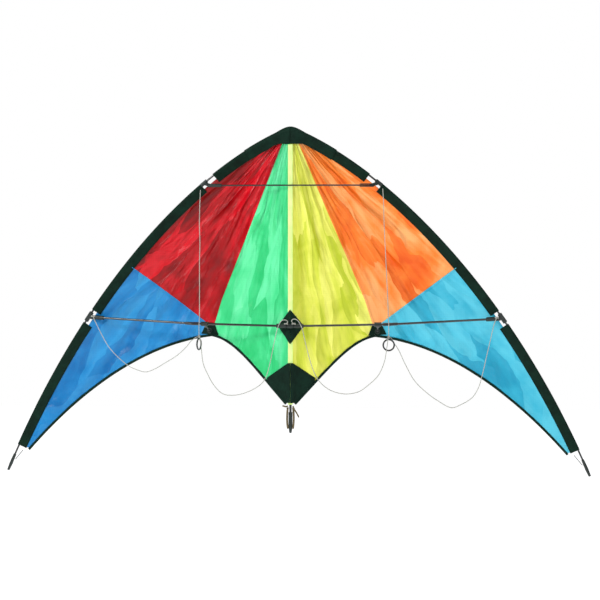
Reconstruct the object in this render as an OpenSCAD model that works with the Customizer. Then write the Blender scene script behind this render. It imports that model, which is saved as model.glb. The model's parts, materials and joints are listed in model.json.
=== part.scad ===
// Dual-line delta kite: two folding wings on a spine, spreaders, stand-offs and a three-leg
// bridle on each side. Millimetres, +Z up along the spine, +X to the right wing tip as seen
// from the front, front (the flyer's side) towards -Y. The origin is the front top of the nose.

/* [Spars and rods] */
// Radius of the two leading edge spars
spar_r = 2; // [1.8:0.1:2.2]
// Radius of the spine rod
spine_r = 2.5; // [2.3:0.1:2.6]
// Radius of the lower spreader rods
lower_rod_r = 2.25; // [2:0.05:2.3]
// Radius of the upper spreader rod
upper_rod_r = 1.6; // [1.4:0.1:1.7]
// Radius of the stand-off rods
standoff_r = 1.5; // [1.3:0.1:1.6]

/* [Sail] */
// How far the sail bellies back between the spine and the leading edge
billow_depth = 42; // [30:1:46]
// Thickness of a sail panel
cloth_t = 0.9; // [0.6:0.1:1.2]
// Width of the sleeve around each leading edge spar
sleeve_w = 21; // [18:1:24]
// Width of the tape along the trailing edge
tape_w = 5; // [4:0.5:6]

/* [Bridle] */
// Radius of the bridle cord
cord_r = 0.8; // [0.6:0.1:1]
// Radius of a tow ring, to the middle of its section
ring_r = 11.3; // [10:0.1:12]
// Radius of a tow ring's section
ring_t = 1.7; // [1.4:0.1:1.8]

/* [Hidden] */

$fn = 32;
rod_black = "#1b1f1d";
trim_black = "#173430";

// Play between a rod and the fitting that it turns or slides in.
fit = 0.05;
// Play between solids that belong to different folding halves.
gap = 0.35;
// Play between two pieces of cloth that are sewn together.
seam = 0.3;

// Leading edge of the right wing: a cubic curve from the nose to the tip.
le_points = [[9, 0, -8], [200, -10, -90], [450, 95, -335], [621, 106, -728]];
// Where along that curve the sleeve has its cut-outs, from 0 at the nose to 1 at the tip.
nose_sleeve_end = 0.25;
middle_sleeve_start = 0.296;
middle_sleeve_end = 0.664;
tip_sleeve_start = 0.695;
tip_sleeve_end = 0.954;
upper_tie = 0.282;
lower_tie = 0.68;
nock_start = 0.972;

// The sail starts this far from the middle, beside the spine's own sleeve.
hinge_x = 6.5;
wing_x = 6.9;
sail_front_y = -3;
standoff_z = -430;
billow_below = 300;

// Corners in the sail's own plane, [x, z].
nose_corner = [21, -39];
panel_bend = [153, -359];
standoff_corner = [172, -420];
edge_corner = [172, -432];
scallop = [[172, -432], [118, -440], [70, -505], [7.4, -571]];
wing_edge = [[173, -432], [330, -452], [468, -560], [577, -683]];
outer_seam_at = 0.545;

// Lower spreader of the right wing: tee, stand-off, ferrule and end.
tee_p = [8, -10, -411];
bend_p = [206, 9, -407.5];
spreader_p = [426, 70.5, -398];
clip_u = 0.87;
standoff_foot_p = [177, 62, -425];

function lerp(a, b, u) = a + (b - a) * u;
function unit(v) = v / norm(v);
function flat(p) = [p[0], p[2]];
function cubic(c, t) =
    pow(1 - t, 3) * c[0] + 3 * pow(1 - t, 2) * t * c[1]
    + 3 * (1 - t) * t * t * c[2] + pow(t, 3) * c[3];
function spar_at(t) = cubic(le_points, t);
function spar_dir(t) = unit(spar_at(t + 0.005) - spar_at(t - 0.005));

// The place on the leading edge at a given height, found by halving.
function spar_t(z, lo = 0, hi = 1, n = 12) =
    n == 0 ? (lo + hi) / 2
    : let (m = (lo + hi) / 2)
      spar_at(m)[2] > z ? spar_t(z, m, hi, n - 1) : spar_t(z, lo, m, n - 1);

// Depth of the sail: flat at the spine, swept back to the leading edge, and bellied between.
function belly(z) =
    billow_depth * cos(90 * min(1, abs(z - standoff_z) / (z < standoff_z ? billow_below : -standoff_z)));
function sail_y(x, z) =
    let (c = spar_at(spar_t(z)), u = min(1, max(0, x / c[0])))
    sail_front_y + (c[1] - sail_front_y) * u + belly(z) * sin(180 * u);

// A point beside the leading edge spar, d inwards in the plane of the sail, as [x, z].
function beside(t, d) =
    let (c = flat(spar_at(t)), v = unit(flat(spar_dir(t))))
    c + d * [v[1], -v[0]];
function inner_edge(t) = beside(t, sleeve_w - 3.5 + seam);
function inset(p, q, r, d) = let (v = unit(r - p)) q + d * [v[1], -v[0]];

// A sheet of cloth between two edges with the same number of points, on the sail's surface.
module sheet(a, b, cells, off = 0, thick = cloth_t) {
    rows = len(a);
    cols = cells + 1;
    flat_points = [for (i = [0 : rows - 1]) for (j = [0 : cells]) lerp(a[i], b[i], j / cells)];
    front = [for (p = flat_points) [p[0], sail_y(p[0], p[1]) + off - thick / 2, p[1]]];
    back = [for (p = front) p + [0, thick, 0]];
    n = rows * cols;
    rim = concat(
        [for (j = [0 : cells - 1]) [j, j + 1]],
        [for (i = [0 : rows - 2]) [i * cols + cells, (i + 1) * cols + cells]],
        [for (j = [cells : -1 : 1]) [(rows - 1) * cols + j, (rows - 1) * cols + j - 1]],
        [for (i = [rows - 1 : -1 : 1]) [i * cols, (i - 1) * cols]]);
    quads = [for (i = [0 : rows - 2]) for (j = [0 : cells - 1])
        [i * cols + j, i * cols + j + 1, (i + 1) * cols + j + 1, (i + 1) * cols + j]];
    polyhedron(
        points = concat(front, back),
        faces = concat(
            [for (q = quads) for (k = [1, 2]) [q[0], q[k], q[k + 1]]],
            [for (q = quads) for (k = [1, 2]) [q[0] + n, q[k + 1] + n, q[k] + n]],
            [for (e = rim) [e[1], e[0], e[0] + n]],
            [for (e = rim) [e[1], e[0] + n, e[1] + n]]));
}

// Two rings of points, joined into a tube with a wall and flat ends.
module pipe(outer, inner) {
    m = len(outer);
    k = len(outer[0]);
    points = concat([for (r = outer) each r], [for (r = inner) each r]);
    h = m * k;
    sides = [for (i = [0 : m - 2]) for (j = [0 : k - 1])
        let (a = i * k + j, b = i * k + (j + 1) % k) [a, b, b + k, a + k]];
    ends = [for (j = [0 : k - 1]) let (b = (j + 1) % k) [j, j + h, b + h, b]];
    polyhedron(points = points, faces = concat(
        [for (q = sides) for (s = [1, 2]) [q[0], q[s + 1], q[s]]],
        [for (q = sides) for (s = [1, 2]) [q[0] + h, q[s] + h, q[s + 1] + h]],
        [for (q = ends) for (s = [1, 2]) [q[0], q[s + 1], q[s]]],
        [for (q = ends) for (s = [1, 2]) [q[0] + h - k, q[s] + h - k, q[s + 1] + h - k]]));
}

// The sleeve's outline around the spar: [inwards, half thickness], then back along the other side.
sleeve_half = [[-3.5, 0], [-2.6, -2.5], [0, -3.5], [6, -2.4], [sleeve_w - 3.5, -0.7]];
sleeve_outline = concat(sleeve_half,
    [for (i = [4 : -1 : 1]) [sleeve_half[i][0], -sleeve_half[i][1]]]);
function section_point(t, d, off) =
    let (p = beside(t, d), on_spar = spar_at(t)[1], y = d > 1 ? sail_y(p[0], p[1]) : on_spar)
    [p[0], y + off, p[1]];
function sleeve_ring(t) = [for (s = sleeve_outline) section_point(t, s[0], s[1])];
function bore_ring(t) =
    let (r = spar_r + 0.35, k = len(sleeve_outline), c = spar_at(t))
    [for (j = [0 : k - 1])
        let (w = 180 - 360 * j / k, p = beside(t, r * cos(w)))
        [p[0], c[1] - r * sin(w), p[1]]];

module sleeve(t0, t1, cells) {
    stops = [for (i = [0 : cells]) lerp(t0, t1, i / cells)];
    pipe([for (t = stops) sleeve_ring(t)], [for (t = stops) bore_ring(t)]);
}

// A round bar swept along a list of points.
module sweep(path, r, sides = 8) {
    m = len(path);
    dirs = [for (i = [0 : m - 1]) unit(path[min(i + 1, m - 1)] - path[max(i - 1, 0)])];
    ref = [0.31, 0.87, 0.12];
    points = [for (i = [0 : m - 1])
        let (a = unit(cross(dirs[i], ref)), b = cross(dirs[i], a))
        for (j = [0 : sides - 1])
            path[i] + r * (cos(360 * j / sides) * a + sin(360 * j / sides) * b)];
    polyhedron(points = points, faces = concat(
        [[for (j = [0 : sides - 1]) j]],
        [for (i = [0 : m - 2]) for (j = [0 : sides - 1])
            let (a = i * sides + j, b = i * sides + (j + 1) % sides)
            for (f = [[a, b + sides, b], [a, a + sides, b + sides]]) f],
        [[for (j = [sides - 1 : -1 : 0]) (m - 1) * sides + j]]));
}

// A cylinder or cone from a to b, and the place of anything along the same line.
module along(a, b) {
    v = b - a;
    translate(a) rotate([0, acos(v[2] / norm(v)), atan2(v[1], v[0])]) children();
}
module rod(a, b, r, r2 = undef) {
    along(a, b) cylinder(h = norm(b - a), r1 = r, r2 = r2 == undef ? r : r2);
}

module left() {
    mirror([1, 0, 0]) children();
}

// ---- Spine ----
spine_top = -14;
spine_end = -629;
module spine() {
    color(rod_black) rod([0, 0, spine_end], [0, 0, spine_top], spine_r);
}

// The pocket sewn down the middle of the sail, with a slot where the tee sits.
tee_top = -396;
tee_bottom = -426;
module pocket(z0, z1) {
    translate([0, 0, z0]) linear_extrude(z1 - z0) difference() {
        union() {
            circle(r = spine_r + 0.9);
            translate([-hinge_x + 0.1, sail_front_y - 0.5]) square([2 * hinge_x - 0.2, 1]);
        }
        circle(r = spine_r + 0.3);
    }
}
module spine_sleeve() {
    color("#d9f59a") {
        pocket(tee_top + gap, -37);
        pocket(-574, tee_bottom - gap);
    }
}

// The middle of the heavy cloth cap over the nose.
nose_depth = 36;
nose_half_t = 4.1;
module nose_cap() {
    color(trim_black) difference() {
        translate([-hinge_x + 0.1, -nose_half_t, -nose_depth])
            cube([2 * hinge_x - 0.2, 2 * nose_half_t - 0.5, nose_depth]);
        rod([0, 0, -nose_depth - 1], [0, 0, spine_top + 1], spine_r + 0.3);
    }
}

hub_half_w = 5.9;
hub_r = 4.9;
module tee_hub() {
    color(rod_black) difference() {
        union() {
            rod([0, 0, tee_bottom + 1], [0, 0, tee_top - 1], 5.2);
            rod([-hub_half_w, tee_p[1], tee_p[2]], [hub_half_w, tee_p[1], tee_p[2]], hub_r);
            translate([-4, tee_p[1], tee_p[2] - 4.5]) cube([8, -tee_p[1] - 2, 9]);
        }
        rod([0, 0, tee_bottom], [0, 0, tee_top], spine_r + fit);
    }
}

// Tail end of the spine: a notched cap, and the elastic that runs through it.
cap_r = 4;
module tail_cap() {
    color(trim_black) difference() {
        union() {
            rod([0, 0, -622], [0, 0, -590], cap_r);
            rod([0, 0, -633], [0, 0, -622], 2.4, cap_r);
        }
        rod([0, 0, spine_end], [0, 0, -589], spine_r + fit);
        translate([-cap_r - 1, -1.2, -634]) cube([2 * cap_r + 2, 2.4, 3]);
    }
}
module tail_cord() {
    color("#5d5326") {
        sweep([[-5.5, -1, -580], [-6.6, -1, -592], [-6.9, -1, -606], [-6, -1, -619], [-4.8, -1, -624]], 1.4);
        sweep([[5.5, -1, -580], [6.6, -1, -592], [6.9, -1, -606], [6, -1, -619], [4.8, -1, -624]], 1.4);
        sweep([[5.4, -4, -577], [9, -6, -584], [14, -7, -592], [18, -7, -600]], 1.4);
        sweep([[-5.4, -4, -577], [-9, -6, -578], [-16, -7, -576]], 1.4);
    }
}

// ---- Upper spreader: a slightly bowed rod, in the left fitting's bore and the right one's fork ----
upper_z = -121;
upper_mid_y = -9;
upper_end = [171, 1];
bow_r = (upper_end[0] * upper_end[0] + pow(upper_end[1] - upper_mid_y, 2)) / (2 * (upper_end[1] - upper_mid_y));
bow_half = asin(upper_end[0] / bow_r);
module upper_spreader() {
    color(rod_black) translate([0, upper_mid_y + bow_r, upper_z])
        rotate([0, 0, -90 - bow_half])
        rotate_extrude(angle = 2 * bow_half, $fn = 180) translate([bow_r, 0]) circle(r = upper_rod_r, $fn = 24);
}

// ---- Leading edge ----
module wing_spar() {
    color(rod_black) sweep([for (i = [0 : 22]) spar_at(i / 22)], spar_r, 12);
}
module nose_sleeve() {
    color(trim_black) sleeve(0.015, nose_sleeve_end, 7);
}
module middle_sleeve() {
    color(trim_black) sleeve(middle_sleeve_start, middle_sleeve_end, 12);
}
module tip_sleeve() {
    color(trim_black) sleeve(tip_sleeve_start, tip_sleeve_end, 10);
}

// Heavy cloth over the nose, in front of and behind the sleeves.
flap_t = 0.8;
flap_off = 5.6;
flap_end = 0.142;
module nose_flap() {
    stops = [for (i = [0 : 6]) lerp(0.004, flap_end, i / 6)];
    top = [for (t = stops) beside(t, t < 0.01 ? -6.5 : -4.6)];
    low = [for (t = stops) let (p = beside(t, sleeve_w - 2.5)) [max(p[0], wing_x), t < 0.06 ? -nose_depth : p[1]]];
    edge = [for (p = top) [max(p[0], wing_x), p[1]]];
    color(trim_black) {
        sheet(edge, low, 2, -flap_off, flap_t);
        sheet(edge, low, 2, flap_off, flap_t);
    }
}

// A moulded fitting that grips the spar.
module collar(t, r, len) {
    c = spar_at(t);
    v = spar_dir(t);
    rod(c - v * len / 2, c + v * len / 2, r);
}
// The bore runs past both ends of its collar by bore_over.
bore_over = 2;

// Play around the bowed rod in its straight seat.
socket_play = 0.6;
upper_socket_from = [143, -1.9, upper_z];
upper_socket_to = [172, 1.4, upper_z];
module upper_fitting(open) {
    c = spar_at(upper_tie);
    color(rod_black) difference() {
        union() {
            collar(upper_tie, spar_r + 2, 16);
            rod(upper_socket_from, upper_socket_to, 3.6);
            rod(upper_socket_to - [5, 0, 0], c, 3.4);
        }
        collar(upper_tie, spar_r + 0.2, 16 + 2 * bore_over);
        // The rod's seat: a bore on the left, a fork open to the front on the right.
        if (open)
            translate([upper_socket_from[0] - 2, -8, upper_z - upper_rod_r - gap])
                cube([upper_socket_to[0] + 3 - upper_socket_from[0], 11.6, 2 * (upper_rod_r + gap)]);
        else
            rod(upper_socket_from - [3, 0.35, 0], upper_socket_to + [0.5, 0, 0], upper_rod_r + socket_play);
    }
}

lower_socket_len = 27;
module lower_fitting() {
    v = unit(spreader_p - bend_p);
    color(rod_black) difference() {
        union() {
            collar(lower_tie, spar_r + 2.6, 22);
            rod(spreader_p - v * (lower_socket_len - 4), spreader_p + v * 7, 4.4);
        }
        collar(lower_tie, spar_r + 0.2, 22 + 2 * bore_over);
        rod(spreader_p - v * lower_socket_len, spreader_p + v * 0.3, lower_rod_r + fit);
    }
}

// ---- Lower spreader: an inner and an outer rod that meet in a ferrule ----
inner_dir = unit(bend_p - tee_p);
outer_dir = unit(spreader_p - bend_p);
// The web between the ferrule's two seats, and the rods' ends, measured from the bend.
ferrule_web = 1.2;
rod_stop = 1.5;
module lower_spreader() {
    color(rod_black) {
        rod(tee_p, bend_p - inner_dir * rod_stop, lower_rod_r);
        rod(bend_p + outer_dir * rod_stop, spreader_p, lower_rod_r);
    }
}
ferrule_half = 15;
ferrule_r = 3.3;
module ferrule() {
    a = bend_p - inner_dir * ferrule_half;
    b = bend_p + outer_dir * ferrule_half;
    color("#101413") difference() {
        union() {
            rod(a, bend_p + inner_dir * 0.8, ferrule_r);
            rod(bend_p - outer_dir * 0.8, b, ferrule_r - 0.22);
        }
        rod(a - inner_dir, bend_p - inner_dir * ferrule_web, lower_rod_r + fit);
        rod(bend_p + outer_dir * ferrule_web, b + outer_dir, lower_rod_r + fit);
    }
}
tee_arm_len = 20;
module tee_arm() {
    v = inner_dir;
    color(rod_black) difference() {
        rod([wing_x, tee_p[1], tee_p[2]], tee_p + v * tee_arm_len, hub_r - 0.4);
        rod(tee_p - v * 3, tee_p + v * (tee_arm_len + 3), lower_rod_r + fit);
    }
}

// ---- Sail panels ----
panel_rows = 16;
function row_u(i) = i / panel_rows;
corner_row = 0.72;
function spine_side(u) = [wing_x, lerp(-38, -571, u)];
function first_seam(u) =
    u < 0.82 ? lerp(nose_corner, panel_bend, u / 0.82) : lerp(panel_bend, standoff_corner, (u - 0.82) / 0.18);
function inner_far(u) =
    u <= corner_row
    ? (u / corner_row > 0.97 ? edge_corner : first_seam(u / corner_row / 0.97))
    : cubic(scallop, (u - corner_row) / (1 - corner_row));
function le_side(u) = inner_edge(lerp(0.055, outer_seam_at, u));
function wing_side(u) = inner_edge(lerp(outer_seam_at + 0.004, tip_sleeve_end, u));

module inner_panel(c) {
    u = [for (i = [0 : panel_rows]) row_u(i)];
    color(c) sheet([for (k = u) spine_side(k)],
        [for (k = u) k > corner_row ? inner_far(k) - [0, -tape_w - seam] * (k < 0.98 ? 1 : 0.2) : inner_far(k)], 6);
}
module middle_panel(c) {
    u = [for (i = [0 : panel_rows]) row_u(i)];
    color(c) sheet([for (k = u) first_seam(k) + [seam + 0.2, 0]], [for (k = u) le_side(k)], 7);
}
module outer_panel(c) {
    u = [for (i = [0 : panel_rows]) row_u(i)];
    color(c) sheet(
        [for (k = u) cubic(wing_edge, k * 0.985) + [0.5, tape_w + seam] * (1 - 0.75 * k) + [2.5, 4] * (1 - k) * (1 - k)],
        [for (k = u) wing_side(k * 0.985)], 5);
}

// Tape folded over the free edge: scallop, then wing edge.
tape_t = 1.8;
function edge_row(c, n, end = 1) = [for (i = [0 : n]) cubic(c, end * i / n)];
function shifted(e, d) = [for (i = [0 : len(e) - 1]) inset(e[max(i - 1, 0)], e[i], e[min(i + 1, len(e) - 1)], d)];
module edge_tape() {
    inner = edge_row(scallop, 10, 0.97);
    outer = edge_row(wing_edge, 14, 0.985);
    color(trim_black) {
        sheet(inner, shifted(inner, -tape_w), 1, 0, tape_t);
        sheet(shifted(outer, tape_w), outer, 1, 0, tape_t);
    }
}

// ---- Patches, in front of the sail ----
patch_off = -1.3;
patch_t = 0.8;
patch_z = [-378, -390, -402, -412, -424, -436, -448];
module centre_patch() {
    color(trim_black) sheet([for (z = patch_z) [wing_x, z]],
        [for (i = [0 : 6]) [wing_x + 0.3 + 20 * (1 - abs(i - 3) / 3), patch_z[i]]], 2, patch_off, patch_t);
}
keel_z = [-489, -521, -536, -551, -566];
keel_x = concat([12], [for (k = [0.74, 0.82, 0.9, 0.975]) cubic(scallop, k)[0]]);
module keel_patch() {
    color(trim_black) sheet([for (z = keel_z) [wing_x, z]],
        [for (i = [0 : 4]) [keel_x[i], keel_z[i]]], 3, patch_off - 0.4, patch_t);
}
module standoff_patch() {
    color(trim_black) sheet([[162, -412], [160, -430]], [[188, -411], [192, -431]], 3, patch_off - 0.4, patch_t);
}

// ---- Tip ----
module nock() {
    a = spar_at(nock_start);
    b = spar_at(1);
    color(trim_black) difference() {
        union() {
            rod(a, lerp(a, b, 0.6), 3, 3.6);
            rod(lerp(a, b, 0.58), b + unit(b - a) * 2, 3.6, 2.6);
        }
        rod(a - unit(b - a) * 3, b + unit(b - a) * 0.3, spar_r + 0.25);
    }
}
module tip_cord() {
    color(rod_black) rod([588.5, 104, -686], [606, 105.5, -707], 0.7);
}

// ---- Stand-off ----
clip_p = lerp(tee_p, bend_p, clip_u);
clip_dir = inner_dir;
standoff_dir = unit(standoff_foot_p - clip_p);
module standoff_clip() {
    color(trim_black) difference() {
        union() {
            rod(clip_p - clip_dir * 7, clip_p + clip_dir * 7, 4.6);
            rod(clip_p + standoff_dir * 2, clip_p + standoff_dir * 17, 3.6);
        }
        rod(clip_p - clip_dir * 9, clip_p + clip_dir * 9, lower_rod_r + fit);
        rod(clip_p + standoff_dir * 7, clip_p + standoff_dir * 20, standoff_r + fit);
    }
}
module standoff_rod() {
    color(rod_black) rod(clip_p + standoff_dir * 7.5, standoff_foot_p - standoff_dir * 4, standoff_r);
}
module standoff_foot() {
    color(trim_black) difference() {
        union() {
            rod(standoff_foot_p - standoff_dir * 14, standoff_foot_p - standoff_dir * 2, 2.8);
            rod(standoff_foot_p - standoff_dir * 3, standoff_foot_p, 5.5);
        }
        rod(standoff_foot_p - standoff_dir * 20, standoff_foot_p - standoff_dir * 3.7, standoff_r + fit);
    }
}

// ---- Bridle ----
// Each leg's route, from its tie to the knot above the tow ring.
left_knot = [-191, 2, -434];
right_knot = [203, 1, -434];
left_upper_route = [[-188, 6, -130], [-189, 4, -160], [-190, 4, -200], [-189, 4, -240], [-190, 4, -280],
    [-190, 4, -320], [-190, 3, -360], [-190, 3, -390], [-191, 2, -412], [-191, 2, -431.4]];
right_upper_route = [[190, 6, -128], [192, 4, -160], [193, 4, -200], [195, 4, -240], [197, 4, -280],
    [199, 4, -320], [201, 3, -360], [202, 3, -390], [203, 2, -412], [203, 1, -431.4]];
left_outer_route = [[-425, 56, -395], [-420, 46, -402], [-405, 40, -430], [-388, 36, -458], [-367, 32, -480],
    [-344, 28, -498], [-322, 24, -507], [-305, 21, -510], [-286, 18, -503], [-262, 14, -489], [-238, 10, -474],
    [-221, 7, -459], [-208, 4, -444], [-194.6, 2, -434.5]];
right_outer_route = [[425, 56, -395], [419, 46, -410], [412, 42, -440], [404, 38, -475], [396, 35, -510],
    [388, 32, -538], [374, 29, -560], [351, 26, -574], [331, 23, -580], [306, 20, -567], [281, 16, -549],
    [256, 12, -524], [238, 9, -492], [224, 8, -462], [214, 7, -446], [206.9, 3, -434.2]];
left_inner_route = [[-8, -16.5, -406], [-4, -19, -402], [-8, -21, -398], [-17, -22, -400], [-25, -21, -416], [-33, -19, -450],
    [-41, -17, -488], [-49, -15, -515], [-61, -12, -532], [-86, -8, -547], [-114, -5, -555], [-140, -2, -553],
    [-159, 0, -536], [-173, 1, -512], [-182, 0, -490], [-185.5, -1, -462],
    [-187, -2, -443], [-189.5, -1.6, -433.5]];
right_inner_route = [[8, -16.5, -406], [4, -19, -400], [9, -21, -396], [18, -22, -400], [26, -21, -416], [33, -19, -446],
    [42, -17, -482], [54, -14, -514], [70, -11, -534], [90, -8, -546], [116, -5, -551], [142, -2, -546],
    [162, 0, -532], [182, 1, -512], [194, -2, -485], [199, -4, -458], [202, -3, -435]];
tie_r = 2.4;
module leg(route) {
    color("#f1f1ee") sweep(route, cord_r);
}
module knotted_leg(route, knot) {
    color("#f1f1ee") {
        sweep(route, cord_r);
        translate(knot) sphere(r = tie_r, $fn = 24);
    }
}

left_ring_axis = unit([1, -0.25, 0]);
right_ring_axis = unit([0.12, -1, 0]);
ring_drop = 4.6;
module tow_ring(knot, axis) {
    color(rod_black) translate(knot - [0, 0, ring_r + ring_drop])
        rotate([0, 90, atan2(axis[1], axis[0])]) rotate_extrude($fn = 64) translate([ring_r, 0]) circle(r = ring_t);
}

module left_spar() left() wing_spar();
module right_spar() wing_spar();
module left_nose_sleeve() left() nose_sleeve();
module right_nose_sleeve() nose_sleeve();
module left_middle_sleeve() left() middle_sleeve();
module right_middle_sleeve() middle_sleeve();
module left_tip_sleeve() left() tip_sleeve();
module right_tip_sleeve() tip_sleeve();
module left_nose_flap() left() nose_flap();
module right_nose_flap() nose_flap();
module left_upper_connector() left() upper_fitting(false);
module right_upper_connector() upper_fitting(true);
module left_lower_connector() left() lower_fitting();
module right_lower_connector() lower_fitting();
module left_spreader() left() lower_spreader();
module right_spreader() lower_spreader();
module left_spreader_ferrule() left() ferrule();
module right_spreader_ferrule() ferrule();
module left_tee_arm() left() tee_arm();
module right_tee_arm() tee_arm();
module left_inner_panel() left() inner_panel("#5ada96");
module right_inner_panel() inner_panel("#e4e878");
module left_middle_panel() left() middle_panel("#d71e2d");
module right_middle_panel() middle_panel("#ff964b");
module left_outer_panel() left() outer_panel("#2d91d2");
module right_outer_panel() outer_panel("#50c8e1");
module left_edge_tape() left() edge_tape();
module right_edge_tape() edge_tape();
module left_centre_patch() left() centre_patch();
module right_centre_patch() centre_patch();
module left_keel_patch() left() keel_patch();
module right_keel_patch() keel_patch();
module left_standoff_patch() left() standoff_patch();
module right_standoff_patch() standoff_patch();
module left_nock() left() nock();
module right_nock() nock();
module left_tip_cord() left() tip_cord();
module right_tip_cord() tip_cord();
module left_standoff() left() standoff_rod();
module right_standoff() standoff_rod();
module left_standoff_clip() left() standoff_clip();
module right_standoff_clip() standoff_clip();
module left_standoff_foot() left() standoff_foot();
module right_standoff_foot() standoff_foot();
module left_upper_leg() knotted_leg(left_upper_route, left_knot);
module right_upper_leg() knotted_leg(right_upper_route, right_knot);
module left_outer_leg() leg(left_outer_route);
module right_outer_leg() leg(right_outer_route);
module left_inner_leg() leg(left_inner_route);
module right_inner_leg() leg(right_inner_route);
module left_tow_ring() tow_ring(left_knot, left_ring_axis);
module right_tow_ring() tow_ring(right_knot, right_ring_axis);

spine();
spine_sleeve();
nose_cap();
tee_hub();
tail_cap();
tail_cord();
upper_spreader();
left_spar();
right_spar();
left_nose_sleeve();
right_nose_sleeve();
left_middle_sleeve();
right_middle_sleeve();
left_tip_sleeve();
right_tip_sleeve();
left_nose_flap();
right_nose_flap();
left_upper_connector();
right_upper_connector();
left_lower_connector();
right_lower_connector();
left_spreader();
right_spreader();
left_spreader_ferrule();
right_spreader_ferrule();
left_tee_arm();
right_tee_arm();
left_inner_panel();
right_inner_panel();
left_middle_panel();
right_middle_panel();
left_outer_panel();
right_outer_panel();
left_edge_tape();
right_edge_tape();
left_centre_patch();
right_centre_patch();
left_keel_patch();
right_keel_patch();
left_standoff_patch();
right_standoff_patch();
left_nock();
right_nock();
left_tip_cord();
right_tip_cord();
left_standoff();
right_standoff();
left_standoff_clip();
right_standoff_clip();
left_standoff_foot();
right_standoff_foot();
left_upper_leg();
right_upper_leg();
left_outer_leg();
right_outer_leg();
left_inner_leg();
right_inner_leg();
left_tow_ring();
right_tow_ring();
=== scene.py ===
"""Delta kite: cloth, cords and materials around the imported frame. Metres, +Z up, front towards -Y."""
import json
import math

import bpy
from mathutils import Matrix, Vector


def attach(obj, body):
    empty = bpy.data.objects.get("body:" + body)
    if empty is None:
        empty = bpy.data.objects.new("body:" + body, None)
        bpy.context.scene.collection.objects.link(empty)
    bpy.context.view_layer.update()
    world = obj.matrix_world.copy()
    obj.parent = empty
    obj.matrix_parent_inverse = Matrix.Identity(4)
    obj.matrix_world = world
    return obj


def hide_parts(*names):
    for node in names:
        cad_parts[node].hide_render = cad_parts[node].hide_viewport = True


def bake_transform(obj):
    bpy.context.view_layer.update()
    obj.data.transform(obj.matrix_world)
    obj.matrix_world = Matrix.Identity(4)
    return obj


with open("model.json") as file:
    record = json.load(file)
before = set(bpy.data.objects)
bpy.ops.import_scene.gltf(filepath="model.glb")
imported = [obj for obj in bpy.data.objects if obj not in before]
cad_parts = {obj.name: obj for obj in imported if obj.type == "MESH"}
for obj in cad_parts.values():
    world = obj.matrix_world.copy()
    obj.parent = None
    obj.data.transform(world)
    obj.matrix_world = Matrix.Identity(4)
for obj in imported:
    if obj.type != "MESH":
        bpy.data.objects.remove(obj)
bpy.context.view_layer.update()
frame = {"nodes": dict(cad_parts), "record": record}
MM = 0.001

# ---------------------------------------------------------------- the sail's shape, as in the frame
LE_POINTS = [(9, 0, -8), (200, -10, -90), (450, 95, -335), (621, 106, -728)]
SAIL_FRONT = -3
BILLOW = 42
STANDOFF_Z = -430
BILLOW_BELOW = 300
SPAR_R = 2
SLEEVE_W = 21
TAPE_W = 5
NOSE_CORNER = (17.3, -30)
NOSE_CLOTH_Z = -29
KEEL_Z = -571
PANEL_BEND = (153, -359)
STANDOFF_CORNER = (172, -420)
EDGE_CORNER = (172, -432)
SCALLOP = [(172, -432), (118, -440), (70, -505), (7.4, -571)]
WING_EDGE = [(173, -432), (330, -452), (468, -560), (577, -683)]
OUTER_SEAM_AT = 0.545
PHASE = 1.7
TIP_END = 0.954
SEAM_HALF = 2.2
SAIL_THICK, SEAM_THICK, TAPE_THICK, PATCH_THICK = 0.3, 0.5, 1.5, 0.6
SIDES = {"left": -1, "right": 1}


def lerp(a, b, u):
    return tuple(p + (q - p) * u for p, q in zip(a, b))


def cubic(c, t):
    weights = ((1 - t) ** 3, 3 * (1 - t) ** 2 * t, 3 * (1 - t) * t * t, t ** 3)
    return tuple(sum(w * p[k] for w, p in zip(weights, c)) for k in range(len(c[0])))


def spar_at(t):
    return cubic(LE_POINTS, t)


def spar_t(z):
    low, high = 0.0, 1.0
    for _ in range(20):
        middle = (low + high) / 2
        if spar_at(middle)[2] > z:
            low = middle
        else:
            high = middle
    return (low + high) / 2


SPAR_TABLE = [spar_at(spar_t(-i)) for i in range(0, 760)]


def spar_level(z):
    """The leading edge at a height, read between two whole millimetres."""
    i = min(max(-z, 0.0), 757.0)
    k = int(i)
    return lerp(SPAR_TABLE[k], SPAR_TABLE[k + 1], i - k)


def belly(z):
    reach = BILLOW_BELOW if z < STANDOFF_Z else -STANDOFF_Z
    return BILLOW * math.cos(math.pi / 2 * min(1, abs(z - STANDOFF_Z) / reach))


def sail_y(x, z):
    c = spar_level(z)
    u = min(1, max(0, abs(x) / max(c[0], 1)))
    return SAIL_FRONT + (c[1] - SAIL_FRONT) * u + belly(z) * math.sin(math.pi * u)


def flat_dir(t):
    a, b = spar_at(t - 0.004), spar_at(t + 0.004)
    length = math.hypot(b[0] - a[0], b[2] - a[2])
    return (b[0] - a[0]) / length, (b[2] - a[2]) / length


def beside(t, d):
    """A point d mm inwards from the spar, as (x, z)."""
    c, v = spar_at(t), flat_dir(t)
    return c[0] + d * v[1], c[2] - d * v[0]


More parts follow.
